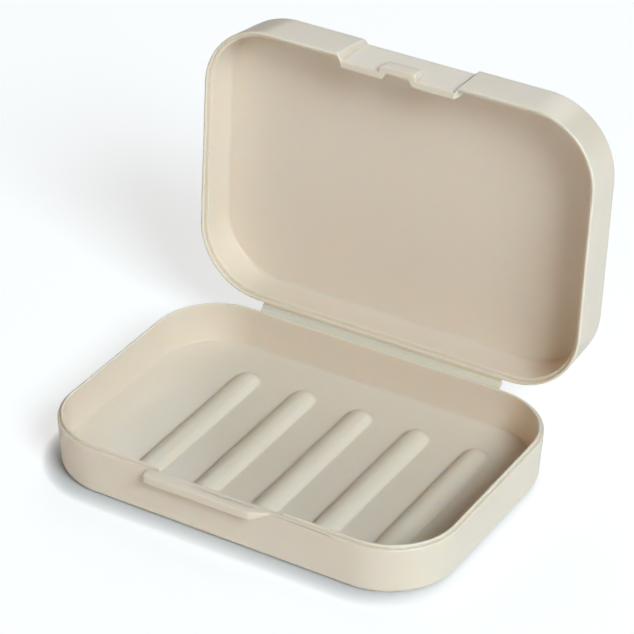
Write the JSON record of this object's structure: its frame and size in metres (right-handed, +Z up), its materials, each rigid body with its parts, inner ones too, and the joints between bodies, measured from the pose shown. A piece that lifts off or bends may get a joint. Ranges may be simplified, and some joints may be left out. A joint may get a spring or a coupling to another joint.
{
  "type": "hinged soap box",
  "caption": "Oblong plastic travel soap box with rounded corners, standing open: a shallow ribbed base, a thumb tab and a lid on a bending-strip hinge.",
  "frame": {"origin": "middle of the base's flat underside", "axes": "+X along the box's length, +Y towards the hinge at the rear, +Z up"},
  "size_m": [0.11, 0.0972, 0.0902],
  "materials": {
    "cream_plastic": "satin moulded cream plastic"
  },
  "bodies": {
    "base": {"base_tray": "cream_plastic", "living_hinge": "cream_plastic"},
    "cover": {"lid": "cream_plastic"}
  },
  "joints": [
    {"name": "lid_hinge", "type": "hinge", "parent": "base", "child": "cover", "pos_m": [0, 0.0393, 0.0134], "axis": [1, 0, 0], "range_deg": [-86.4, 93.6], "deforming": ["living_hinge"]}
  ]
}
